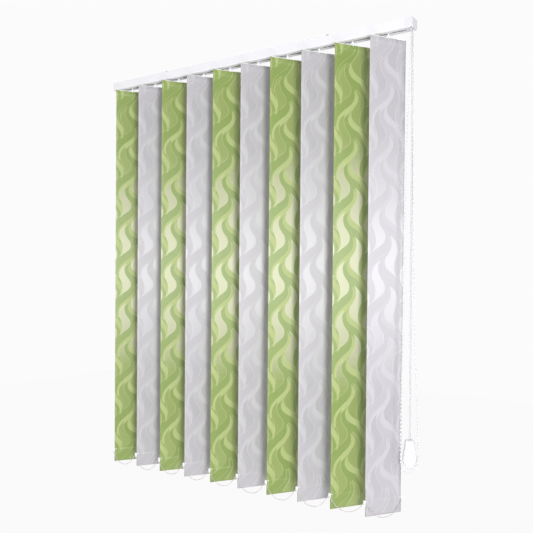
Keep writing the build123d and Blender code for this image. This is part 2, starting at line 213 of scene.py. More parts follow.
# The satin figure repeats every 156 mm down and 100 mm across. A flame is one closed island; each ribbon
# swells and tapers between two flames.
REPEAT_DOWN, REPEAT_ACROSS = 156.0, 100.0
FLAME = Strip(
    59.0, 0.0,
    ((0, 42.5), (5, 36), (12.5, 27.5), (25, 18.7), (37.5, 15), (52.5, 15.5), (65, 20), (77.5, 25), (92.5, 28),
     (105, 27.5), (117.5, 23.7), (127.5, 15), (135, 5)),
    ((0, 42.5), (10, 37.5), (22.5, 35), (35, 36.2), (47.5, 41.2), (60, 50), (68.5, 56), (80, 59.2), (90, 58.7),
     (100, 53.7), (110, 42.5), (118.5, 30), (127.5, 17), (135, 5)),
)
FLAME_MIRROR = 120.0
FALLING_RIBBON = Strip(
    140.0, 0.0,
    ((0, 70), (15, 72.5), (30, 71), (45, 62.5), (60, 45), (75, 27.5), (90, 15), (107.5, 8.7), (120, 7.5),
     (132.5, 10), (142, 13.7)),
    ((0, 70), (10, 80), (25, 84.5), (40, 82), (55, 73), (70, 60), (85, 43.5), (102.5, 26), (120, 17), (132, 14.8),
     (142, 13.7)),
)
CROSSING_RIBBON = Strip(
    57.0, 45.0,
    ((0, 12), (13, 6), (25.5, 5), (38, 10), (48, 20), (55.5, 32.5), (62, 45), (83, 57), (95.5, 65), (110.5, 72.5),
     (123, 75), (133, 75), (141, 70)),
    ((0, 13), (8, 14), (15.5, 15.5), (25.5, 22.5), (33, 31), (41, 44), (46, 53), (63, 63), (75.5, 73), (93, 82.5),
     (108, 85), (123, 83), (133, 77), (141, 70)),
)


@dataclass(frozen=True)
class JacquardFinish:
    """Woven polyester blind cloth with a satin figure in the same yarn.

    The ground is a dull plain weave. The flames are long floats that run down the vane, so they shine in a low band
    and look near white there. This is partly real sheen from their roughness and metallic, and partly a painted
    highlight:
    a pale colour laid over the flames across the vane's middle. The ribbons are shorter floats, a little paler than the
    ground.
    """

    name: str
    ground: str
    ribbon: str
    # flame: the pale colour of the painted highlight laid over the flames across the vane's middle
    flame: str
    line: str
    sheen_ior: float
    thread: float = 0.9
    ground_roughness: float = 0.66
    ribbon_roughness: float = 0.95
    flame_roughness: float = 0.54
    flame_metallic: float = 0.15
    flame_lift: float = 0.5

    def edge(self, tree: bpy.types.NodeTree, down: bpy.types.NodeSocket, curve: Curve) -> bpy.types.NodeSocket:
        """Reads one drawn edge of a figure.

        Args:
            tree: The node tree.
            down: How far down the figure, in millimetres.
            curve: The edge's points, down and across.

        Returns:
            The edge's place across, in millimetres.
        """
        share = calculate(tree, "DIVIDE", down, REPEAT_DOWN)
        node = add_node(tree, "FloatCurve", {}, {"Value": share})
        mapping = node.mapping
        points = mapping.curves[0].points
        ends = [curve[0], (REPEAT_DOWN, curve[-1][1])]
        for point, (along, across) in zip(points, ends):
            point.location = (along / REPEAT_DOWN, across / REPEAT_ACROSS)
        for along, across in curve[1:]:
            points.new(along / REPEAT_DOWN, across / REPEAT_ACROSS)
        mapping.update()
        return calculate(tree, "MULTIPLY", node.outputs[0], REPEAT_ACROSS)

    def figure(
        self, tree: bpy.types.NodeTree, across: bpy.types.NodeSocket, down: bpy.types.NodeSocket, strip: Strip
    ) -> tuple[bpy.types.NodeSocket, bpy.types.NodeSocket]:
        """Draws one figure of the repeat.

        Args:
            tree: The node tree.
            across: Place across the cloth in millimetres.
            down: Place down the cloth in millimetres.
            strip: The figure.

        Returns:
            The mask of its inside, and that of its outline.
        """
        along = calculate(tree, "FLOORED_MODULO", calculate(tree, "SUBTRACT", down, strip.start), REPEAT_DOWN)
        side = calculate(tree, "FLOORED_MODULO", calculate(tree, "SUBTRACT", across, strip.shift), REPEAT_ACROSS)
        length = max(strip.left[-1][0], strip.right[-1][0])
        inside = [calculate(tree, "LESS_THAN", along, length)]
        outline = []
        for sign, curve in ((1.0, strip.left), (-1.0, strip.right)):
            gap = calculate(tree, "SUBTRACT", side, self.edge(tree, along, curve))
            inside.append(self.step(tree, calculate(tree, "MULTIPLY", gap, sign), -0.5, 0.7))
            outline.append(self.step(tree, calculate(tree, "ABSOLUTE", gap), 1.3, 0.2))
        body = calculate(tree, "MULTIPLY", inside[1], inside[2])
        rim = calculate(tree, "MAXIMUM", outline[0], outline[1])
        return calculate(tree, "MULTIPLY", body, inside[0]), calculate(tree, "MULTIPLY", rim, inside[0])

    def step(
        self, tree: bpy.types.NodeTree, value: bpy.types.NodeSocket, low: float, high: float
    ) -> bpy.types.NodeSocket:
        """A soft step from 0 at low to 1 at high.

        Args:
            tree: The node tree.
            value: The value that is tested.
            low: Where the step starts.
            high: Where it ends.

        Returns:
            The step's socket.
        """
        settings = {"interpolation_type": "SMOOTHSTEP"}
        if low < high:
            inputs = {"Value": value, "From Min": low, "From Max": high, "To Min": 0.0, "To Max": 1.0}
        else:
            inputs = {"Value": value, "From Min": high, "From Max": low, "To Min": 1.0, "To Max": 0.0}
        return add_node(tree, "MapRange", settings, inputs).outputs[0]

    def mixed(
        self, tree: bpy.types.NodeTree, mask: object, below: object, above: object
    ) -> bpy.types.NodeSocket:
        """Lays one colour over another.

        Args:
            tree: The node tree.
            mask: The share of the upper colour.
            below: The lower colour.
            above: The upper colour.

        Returns:
            The mixed colour.
        """
        node = add_node(tree, "Mix", {"data_type": "RGBA"}, {0: mask, 6: below, 7: above})
        return node.outputs[2]

    def middle(
        self, tree: bpy.types.NodeTree, across: bpy.types.NodeSocket, down: bpy.types.NodeSocket
    ) -> bpy.types.NodeSocket:
        """Where the flames are painted pale, a painted highlight standing in for their satin sheen: over the middle of
        the vane, fading out in streaks above and below.

        Args:
            tree: The node tree.
            across: Place across the cloth in millimetres.
            down: Place down the cloth in millimetres.

        Returns:
            The share of the painted highlight.
        """
        streak = add_node(tree, "CombineXYZ", {}, {0: calculate(tree, "MULTIPLY", across, 0.012),
                                                   1: calculate(tree, "MULTIPLY", down, 0.12)})
        noise = add_node(tree, "TexNoise", {}, {"Vector": streak.outputs[0], "Scale": 1.0, "Detail": 2.0}).outputs[0]
        moved = calculate(tree, "MULTIPLY_ADD", calculate(tree, "SUBTRACT", noise, 0.5), 50.0, down)
        start = self.step(tree, moved, 290.0, 430.0)
        return calculate(tree, "MULTIPLY", start, self.step(tree, moved, 1110.0, 960.0))

    def build(self) -> bpy.types.Material:
        """Makes the cloth's material.

        Returns:
            The material.
        """
        material, tree = new_material(self.name)
        place = add_node(tree, "SeparateXYZ", {}, {0: add_node(tree, "UVMap", {"uv_map": "cloth"}).outputs[0]})
        across = calculate(tree, "MULTIPLY", place.outputs[0], 1000.0)
        down = calculate(tree, "MULTIPLY", place.outputs[1], 1000.0)
        flame, flame_rim = self.figure(tree, across, down, FLAME)
        mirrored = calculate(tree, "SUBTRACT", FLAME_MIRROR, across)
        lower = calculate(tree, "SUBTRACT", down, REPEAT_DOWN / 2)
        second, second_rim = self.figure(tree, mirrored, lower, FLAME)
        falling, falling_rim = self.figure(tree, across, down, FALLING_RIBBON)
        crossing, crossing_rim = self.figure(tree, across, down, CROSSING_RIBBON)
        # The first and last falling ribbons are in the ground's own tone, so only their outline shows, and the
        # last crossing one fades out over the hem
        falling = calculate(tree, "MULTIPLY", falling, self.step(tree, down, 112.0, 135.0))
        falling = calculate(tree, "MULTIPLY", falling, self.step(tree, down, 1400.0, 1380.0))
        flames = calculate(tree, "MAXIMUM", flame, second)
        crossing = calculate(tree, "MULTIPLY", crossing, self.step(tree, down, 1450.0, 1395.0))
        ribbons = calculate(tree, "MAXIMUM", falling, crossing)
        ribbon_only = calculate(tree, "MULTIPLY", ribbons, calculate(tree, "SUBTRACT", 1.0, flames))
        lines = calculate(tree, "MAXIMUM", flame_rim, second_rim)
        ends = calculate(tree, "MAXIMUM", self.step(tree, down, 130.0, 100.0), self.step(tree, down, 1375.0, 1390.0))
        lines = calculate(tree, "MAXIMUM", lines, calculate(tree, "MULTIPLY", falling_rim, ends))
        # Slow uneven dye and finish over a hand's width
        coordinates = add_node(tree, "TexCoord")
        drift = add_node(
            tree, "TexNoise", {}, {"Vector": coordinates.outputs["Object"], "Scale": 9.0, "Detail": 2.0}
        ).outputs[0]
        drift_mask = calculate(tree, "MULTIPLY", calculate(tree, "SUBTRACT", drift, 0.5), 0.35)
        ground = self.mixed(
            tree, calculate(tree, "ADD", drift_mask, 0.12), linear(self.ground), linear(self.ribbon)
        )
        colour = self.mixed(tree, calculate(tree, "MULTIPLY", ribbon_only, 0.92), ground, linear(self.ribbon))
        colour = self.mixed(tree, calculate(tree, "MULTIPLY", flames, self.flame_lift), colour, linear(self.ribbon))
        # Painted highlight: the flames are painted pale over the vane's middle, standing in for satin sheen, on top of
        # the real sheen from roughness and metallic
        painted_highlight_share = calculate(tree, "MULTIPLY", flames, self.middle(tree, across, down))
        colour = self.mixed(tree, painted_highlight_share, colour, linear(self.flame))
        colour = self.mixed(tree, calculate(tree, "MULTIPLY", lines, 0.65), colour, linear(self.line))
        # Threads 0.9 mm apart, about twice the real weave so that they show close up
        warp = calculate(tree, "SINE", calculate(tree, "MULTIPLY", across, math.tau / self.thread))
        weft = calculate(tree, "SINE", calculate(tree, "MULTIPLY", down, math.tau / self.thread))
        plain = calculate(tree, "MULTIPLY", warp, weft)
        relief = add_node(tree, "Mix", {"data_type": "FLOAT"}, {0: flames, 2: plain, 3: warp}).outputs[0]
        raised = calculate(tree, "MULTIPLY_ADD", flames, 0.6, calculate(tree, "MULTIPLY", relief, 0.5))
        bump = add_node(tree, "Bump", {}, {"Strength": 0.25, "Distance": 0.00015, "Height": raised})
        dull = add_node(
            tree, "Mix", {"data_type": "FLOAT"}, {0: ribbon_only, 2: self.ground_roughness, 3: self.ribbon_roughness}
        ).outputs[0]
        roughness = add_node(
            tree, "Mix", {"data_type": "FLOAT"}, {0: flames, 2: dull, 3: self.flame_roughness}
        ).outputs[0]
        metallic = calculate(tree, "MULTIPLY", flames, self.flame_metallic)
        tangent = add_node(tree, "Tangent", {"direction_type": "UV_MAP", "uv_map": "cloth"})
        return finish_shader(
            material, colour, roughness, bump.outputs[0],
            Metallic=metallic, Anisotropic=1.0, Tangent=tangent.outputs[0], IOR=self.sheen_ior,
            Specular_IOR_Level=1.0,
        )


@dataclass(frozen=True)
class PowderCoatFinish:
    """Powder coat on extruded aluminium: an even satin skin with a very fine orange peel."""

    name: str = "rail_powder_coat"
    colour: str = "DFDEE0"
    roughness: float = 0.4

    def build(self) -> bpy.types.Material:
        """Makes the paint's material.

        Returns:
            The material.
        """
        material, tree = new_material(self.name)
        place = add_node(tree, "TexCoord").outputs["Object"]
        # Orange peel about 1.2 mm from crest to crest
        peel = add_node(tree, "TexNoise", {}, {"Vector": place, "Scale": 850.0, "Detail": 1.0}).outputs[0]
        bump = add_node(tree, "Bump", {}, {"Strength": 0.06, "Distance": 0.0001, "Height": peel})
        drift = add_node(tree, "TexNoise", {}, {"Vector": place, "Scale": 14.0, "Detail": 2.0}).outputs[0]
        shade = add_node(
            tree, "Mix", {"data_type": "RGBA"}, {0: drift, 6: linear(self.colour), 7: linear("DBDADD")}
        ).outputs[2]
        rough = calculate(tree, "MULTIPLY_ADD", drift, 0.08, self.roughness - 0.04)
        return finish_shader(material, shade, rough, bump.outputs[0])


@dataclass(frozen=True)
class MouldedPlasticFinish:
    """Injection-moulded plastic: a smooth skin with a faint spark texture and slow changes in gloss."""

    name: str
    colour: str
    shade: str
    roughness: float = 0.3
    grain: float = 0.5

    def build(self) -> bpy.types.Material:
        """Makes the plastic's material.

        Returns:
            The material.
        """
        material, tree = new_material(self.name)
        place = add_node(tree, "TexCoord").outputs["Object"]
        spark = add_node(
            tree, "TexNoise", {}, {"Vector": place, "Scale": 1000.0 / self.grain, "Detail": 1.0}
        ).outputs[0]
        bump = add_node(tree, "Bump", {}, {"Strength": 0.05, "Distance": 0.0001, "Height": spark})
        flow = add_node(tree, "TexNoise", {}, {"Vector": place, "Scale": 60.0, "Detail": 2.0}).outputs[0]
        tone = add_node(
            tree, "Mix", {"data_type": "RGBA"}, {0: flow, 6: linear(self.colour), 7: linear(self.shade)}
        ).outputs[2]
        rough = calculate(tree, "MULTIPLY_ADD", flow, 0.1, self.roughness - 0.05)
        return finish_shader(material, tone, rough, bump.outputs[0], IOR=1.5)


@dataclass(frozen=True)
class DrawnMetalFinish:
    """Bright zinc plate or drawn aluminium with fine lines along its length."""

    name: str
    colour: str
    roughness: float

    def build(self) -> bpy.types.Material:
        """Makes the metal's material.

        Returns:
            The material.
        """
        material, tree = new_material(self.name)
        place = add_node(tree, "TexCoord").outputs["Object"]
        # Drawing lines 0.4 mm apart and 40 mm long
        stretch = add_node(
            tree, "Mapping", {}, {"Vector": place, "Scale": (25.0, 2500.0, 2500.0)}
        ).outputs[0]
        lines = add_node(tree, "TexNoise", {}, {"Vector": stretch, "Scale": 1.0, "Detail": 2.0}).outputs[0]
        rough = calculate(tree, "MULTIPLY_ADD", lines, 0.2, self.roughness - 0.1)
        bump = add_node(tree, "Bump", {}, {"Strength": 0.1, "Distance": 0.00005, "Height": lines})
        return finish_shader(material, linear(self.colour), rough, bump.outputs[0], Metallic=1.0)


@dataclass(frozen=True)
class BraidFinish:
    """Braided polyester cord: strands that wind round it in both directions, with painted shade in the hollows between
    them.
    """

    name: str = "braided_cord"
    colour: str = "DEDEE0"
    painted_hollow_shade: str = "A9A9B0"

    def build(self) -> bpy.types.Material:
        """Makes the cord's material.

        Returns:
            The material.
        """
        material, tree = new_material(self.name)
        place = add_node(tree, "TexCoord").outputs["Object"]
        # Plaits about 1.6 mm long, drawn over the object's own height
        weave = add_node(
            tree, "TexWave", {"wave_type": "BANDS", "bands_direction": "DIAGONAL"},
            {"Vector": place, "Scale": 320.0, "Distortion": 1.5, "Detail": 1.0},
        ).outputs[0]
        # Painted shade: the hollows between the plaits are painted darker, following the same bands as the bump
        tone = add_node(
            tree, "Mix", {"data_type": "RGBA"}, {0: weave, 6: linear(self.painted_hollow_shade), 7: linear(self.colour)}
        ).outputs[2]
        bump = add_node(tree, "Bump", {}, {"Strength": 0.5, "Distance": 0.0003, "Height": weave})
        return finish_shader(material, tone, 0.7, bump.outputs[0])


@dataclass
class Finishes:
    """Every finish of the blind, made once and shared."""

    made: dict[str, bpy.types.Material] = field(default_factory=dict)

    def build(self) -> "Finishes":
        """Makes the materials.

        Returns:
            The finishes themselves.
        """
        kinds = {
            # Each cloth's third colour is the painted highlight on its flames across the vane's middle
            Weave.GREEN.value: JacquardFinish("green_jacquard", "768F2E", "A3B268", "B4B790", "C3CC92", 1.8),
            Weave.GREY.value: JacquardFinish("grey_jacquard", "B4B1B6", "BDBBBF", "C0BEC2", "D4D2D5", 1.65),
            "paint": PowderCoatFinish(),
            "cap": MouldedPlasticFinish("end_cap_abs", "D9D8DB", "D4D3D7", 0.28),
            "carrier": MouldedPlasticFinish("carrier_acetal", "DEDEE0", "D2D2D6", 0.45),
            "stem": MouldedPlasticFinish("hook_acetal", "F0F0F2", "E8E8EB", 0.35),
            "fitting": MouldedPlasticFinish("hanger_plastic", "F4F4F6", "ECECF0", 0.3),
            "gear": MouldedPlasticFinish("gear_acetal", "E6E5E0", "DCDBD6", 0.4),
            "chain": MouldedPlasticFinish("bead_plastic", "DEDEDF", "D4D3D3", 0.3, 0.3),
            # The link chain's tone is partly its own tan plastic and partly painted shade, darker for the open gaps
            # between links that beads on a thread don't have
            "link": MouldedPlasticFinish("link_chain_plastic_and_gap_shade", "C8C4BE", "BDB9B2", 0.3, 0.3),
            "bob": MouldedPlasticFinish("cord_weight_plastic", "D7D7D9", "D0D0D4", 0.3),
            "clip": DrawnMetalFinish("zinc_plated_steel", "C4C6CA", 0.35),
            "rod": DrawnMetalFinish("drawn_aluminium", "D6D8DC", 0.3),
            "cord": BraidFinish(),
        }
        self.made = {key: kind.build() for key, kind in kinds.items()}
        return self

    def dress(self, piece: bpy.types.Object, key: str) -> None:
        """Gives a piece its one finish.

        Args:
            piece: The piece, a CAD node or a new one.
            key: The finish.
        """
        piece.data.materials.clear()
        piece.data.materials.append(self.made[key])


def piece_from(mesh_maker: bmesh.types.BMesh, name: str, smooth: bool = True) -> bpy.types.Object:
    """Makes an object of a finished bmesh.

    Args:
        mesh_maker: The bmesh, which is freed.
        name: The piece's name.
        smooth: Whether its faces are shaded smooth.

    Returns:
        The object, at the origin.
    """
    mesh = bpy.data.meshes.new(name)
    mesh_maker.to_mesh(mesh)
    mesh_maker.free()
    mesh.polygons.foreach_set("use_smooth", [smooth] * len(mesh.polygons))
    piece = bpy.data.objects.new(name, mesh)
    bpy.context.scene.collection.objects.link(piece)
    return piece


def smooth_route(route: list[tuple[float, float, float]], resolution: int = 24) -> list[Vector]:
    """Reads the smooth line of a cord from its NURBS spline.

    Args:
        route: The cord's own points, in metres.
        resolution: Steps for each span of the spline.

    Returns:
        The points of the line.
    """
    curve = bpy.data.curves.new("route", "CURVE")
    curve.dimensions = "3D"
    spline = curve.splines.new("NURBS")
    spline.points.add(len(route) - 1)
    for point, place in zip(spline.points, route):
        point.co = (*place, 1.0)
    spline.order_u = 3
    spline.use_endpoint_u = True
    spline.resolution_u = resolution
    holder = bpy.data.objects.new("route", curve)
    mesh = bpy.data.meshes.new_from_object(holder)
    line = [vertex.co.copy() for vertex in mesh.vertices]
    bpy.data.objects.remove(holder)
    bpy.data.curves.remove(curve)
    bpy.data.meshes.remove(mesh)
    return line


@dataclass
class Line:
    """A smooth line with its length worked out, so that pieces can be strung along it."""

    points: list[Vector]

    def lengths(self) -> list[float]:
        """Distance of each point from the start.

        Returns:
            One length for each point.
        """
        total, found = 0.0, [0.0]
        for before, after in zip(self.points, self.points[1:]):
            total += (after - before).length
            found.append(total)
        return found

    def stations(self, step: float) -> list[tuple[Vector, Vector]]:
        """Even places along the line.

        Args:
            step: The wanted distance between them, in metres.

        Returns:
            Each place with the line's direction there.
        """
        lengths = self.lengths()
        count = max(1, round(lengths[-1] / step))
        found, i = [], 0
        for k in range(count):
            goal = lengths[-1] * (k + 0.5) / count
            while lengths[i + 1] < goal:
                i += 1
            share = (goal - lengths[i]) / max(lengths[i + 1] - lengths[i], 1e-9)
            place = self.points[i].lerp(self.points[i + 1], share)
            found.append((place, (self.points[i + 1] - self.points[i]).normalized()))
        return found


def add_thread(mesh_maker: bmesh.types.BMesh, points: list[Vector], radius: float, sides: int = 6) -> None:
    """Adds a thin closed tube along a line.

    Args:
        mesh_maker: The bmesh that it joins.
        points: The line.
        radius: The tube's radius in metres.
        sides: How many sides it has.
    """
    rings = []
    side = (points[1] - points[0]).orthogonal().normalized()
    for i, point in enumerate(points):
        ahead = points[min(i + 1, len(points) - 1)] - points[max(i - 1, 0)]
        ahead.normalize()
        side = (side - ahead * side.dot(ahead)).normalized()
        other = ahead.cross(side)
        rings.append([
            mesh_maker.verts.new(
                point + radius * (math.cos(a) * side + math.sin(a) * other)
            )
            for a in (math.tau * k / sides for k in range(sides))
        ])
    for ring, after in zip(rings, rings[1:]):
        for k in range(sides):
            mesh_maker.faces.new((ring[k], ring[(k + 1) % sides], after[(k + 1) % sides], after[k]))
    mesh_maker.faces.new(reversed(rings[0]))
    mesh_maker.faces.new(rings[-1])


def add_bead(
    mesh_maker: bmesh.types.BMesh, place: Vector, ahead: Vector, radius: float, stretch: float = 1.0
) -> None:
    """Adds one bead, a small ball or barrel along its cord.

    Args:
        mesh_maker: The bmesh that it joins.
        place: Its middle.
        ahead: The cord's direction there.
        radius: Its radius in metres.
        stretch: Its length over its diameter.
    """
    turn = ahead.to_track_quat("Z", "Y").to_matrix().to_4x4()
    shape = Matrix.Translation(place) @ turn @ Matrix.Diagonal((1.0, 1.0, stretch, 1.0))
    bmesh.ops.create_uvsphere(mesh_maker, u_segments=8, v_segments=6, radius=radius, matrix=shape)


@dataclass
class VaneSet:
    """The ten cloth vanes, each one strip folded over its hanger above and over its weight below."""

    finishes: Finishes
    thickness: float = 0.45
    top_hem: float = 18.0
    bottom_hem: float = 50.0
    columns: int = 14

    def section(self) -> list[tuple[float, float, float]]:
        """The strip's path down its length, from the rear flap of the top hem to that of the bottom one.

        Returns:
            For each row, its offset behind the vane's plane, its height below the top, and the place on the cloth.
        """
        top, low = self.top_hem, VANE_DROP - self.bottom_hem
        rows = [
            (0.5, top + 1.2), (0.56, top), (0.75, top - 1.2), (1.05, top - 3.5), (1.15, top - 8.0),
            (1.1, 3.0), (0.8, 0.7), (0.0, 0.05), (-0.8, 0.7), (-1.1, 3.0), (-1.15, top - 8.0),
            (-1.0, top - 3.5), (-0.65, top - 1.4), (-0.42, top), (-0.38, top + 1.4), (-0.15, top + 4.5),
        ]
        steps = 56
        start = top + 8.0
        for i in range(steps + 1):
            rows.append((0.0, start + (low - 12.0 - start) * i / steps))
        rows += [
            (-0.15, low - 5.0), (-0.35, low - 1.6), (-0.42, low), (-0.75, low + 1.6), (-1.35, low + 4.5),
            (-1.8, low + 10.0), (-1.85, low + 22.0), (-1.85, low + 36.0), (-1.75, VANE_DROP - 4.0),
            (-1.3, VANE_DROP - 1.0), (0.0, VANE_DROP - 0.1), (1.3, VANE_DROP - 1.0), (1.75, VANE_DROP - 4.0),
            (1.85, low + 36.0), (1.85, low + 22.0), (1.8, low + 10.0), (1.4, low + 4.5), (0.75, low + 1.4),
            (0.52, low), (0.5, low - 1.4),
        ]
        fold = next(i for i, row in enumerate(rows) if row[1] < 0.1)
        lengths = [0.0]
        for before, after in zip(rows, rows[1:]):
            lengths.append(lengths[-1] + math.dist(before, after))
        return [(*row, length - lengths[fold]) for row, length in zip(rows, lengths)]

    def build_one(self, number: int) -> bpy.types.Object:
        """Makes one vane.

        Args:
            number: Its number, 1 at the far end.

        Returns:
            The piece.
        """
        rows = self.section()
        half = VANE_WIDTH / 2
        work = bmesh.new()
        layer = work.loops.layers.uv.new("cloth")
        bowing = 0.35 + 0.12 * math.sin(number * 2.3)
        grid = []
        for offset, drop, along in rows:
            line = []
            for column in range(self.columns + 1):
                across = -half + VANE_WIDTH * column / self.columns
                hang = math.sin(math.pi * min(1.0, max(0.0, drop / VANE_DROP)))
                curl = bowing * (1.0 - (across / half) ** 2) * hang
                ripple = 0.14 * math.sin(drop / 97.0 + number * 1.7 + across / 40.0) * hang
                vertex = work.verts.new((across * MM, (offset + curl * 0.5 + ripple) * MM, (VANE_TOP - drop) * MM))
                line.append((vertex, across + half, along))
            grid.append(line)
        for above, below in zip(grid, grid[1:]):
            for i in range(self.columns):
                corners = (above[i], above[i + 1], below[i + 1], below[i])
                face = work.faces.new([corner[0] for corner in reversed(corners)])
                for loop, corner in zip(face.loops, reversed(corners)):
                    loop[layer].uv = (corner[1] * MM, corner[2] * MM)
        work.transform(vane_to_frame(number))
        piece = piece_from(work, f"vane_cloth_{number:02d}")
        shell = piece.modifiers.new("cloth_thickness", "SOLIDIFY")
        shell.thickness = self.thickness * MM
        shell.offset = 0.0
        weave = Weave.GREEN if number % 2 else Weave.GREY
        self.finishes.dress(piece, weave.value)
        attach(piece, f"slat_{number:02d}")
        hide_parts(f"vane_{number:02d}")
        return piece

    def build(self) -> None:
        """Makes all ten vanes."""
        rows = self.section()
        for number in range(1, VANES + 1):
            piece = self.build_one(number)


@dataclass
class BottomChain:
    """Link chain from clip to clip along the vanes' lower ends, one cord for each span."""

    finishes: Finishes
    diameter: float = 3.2
    spacing: float = 4.6
    sags: tuple[float, ...] = (39.5, 42.0, 38.0, 39.0, 38.0, 41.5, 42.0, 39.5, 32.5)
    tail_sag: float = 45.0
    height: float = VANE_TOP - VANE_DROP + 42.0
    across: float = 66.8
    ahead: float = 4.8
    span_start: tuple[float, float] = (-69.8, -4.6)
    span_end: tuple[float, float] = (-72.0, -1.2)

    def clip(self, number: int, across: float, ahead: float) -> tuple[float, float]:
        """Where the chain meets a vane's edge clip.

        Args:
            number: The vane's number.
            across: Place across the vane in millimetres.
            ahead: Place behind the vane's plane in millimetres.

        Returns:
            X and Y in millimetres.
        """
        turn = math.radians(TILT_AT_REST)
        x = hook_x(number) + across * math.cos(turn) - ahead * math.sin(turn)
        return x, across * math.sin(turn) + ahead * math.cos(turn)

    def route(
        self, start: tuple[float, float], end: tuple[float, float], bow: tuple[float, float], sag: float
    ) -> list[tuple[float, float, float]]:
        """One hanging span.

        Args:
            start: X and Y of its first clip in millimetres.
            end: X and Y of its second clip.
            bow: How far its middle stands out in front of the straight line.
            sag: How far it hangs below its clips.

        Returns:
            The span's route points in metres.
        """
        points = []
        for share, fall, out in (
            (0.0, 0.0, 0.0), (0.14, 0.62, 0.7), (0.36, 1.06, 1.0), (0.64, 1.06, 1.0), (0.86, 0.62, 0.7), (1.0, 0.0, 0.0)
        ):
            points.append((
                (start[0] + share * (end[0] - start[0]) + out * bow[0]) * MM,
                (start[1] + share * (end[1] - start[1]) + out * bow[1]) * MM,
                (self.height - fall * sag) * MM,
            ))
        return points

    def string(self, name: str, route: list[tuple[float, float, float]]) -> bpy.types.Object:
        """Args:
            name: The piece's name.
            route: The span's route points in metres.

        Returns:
            The piece.
        """
        points = smooth_route(route, 12)
        line = Line(points)
        work = bmesh.new()
        add_thread(work, points, 0.5 * MM, 5)
        for place, ahead in line.stations(self.spacing * MM):
            add_bead(work, place, ahead, self.diameter / 2 * MM)
        piece = piece_from(work, name)
        self.finishes.dress(piece, "link")
        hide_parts("bottom_chain")
        line.lengths()[-1]
        return piece

    def build(self) -> None:
        """Makes the nine spans between vanes and the tail across the last one."""
        for number, sag in enumerate(self.sags, 1):
            start = self.clip(number, *self.span_start)
            end = self.clip(number + 1, *self.span_end)
            piece = self.string(f"bottom_chain_{number:02d}", self.route(start, end, (0.0, -2.0), sag))
            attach(piece, "edge_chain")
            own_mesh(piece)
            LOG.info("%s strung", piece.name)
        turn = math.radians(TILT_AT_REST)
        bow = (5.0 * math.sin(turn), -5.0 * math.cos(turn))
        start = self.clip(VANES, -self.across, -self.ahead)
        end = self.clip(VANES, self.across, -self.ahead)
        tail = self.string("bottom_chain_tail", self.route(start, end, bow, self.tail_sag))
        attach(tail, f"slat_{VANES:02d}")
        LOG.info("%s strung", tail.name)


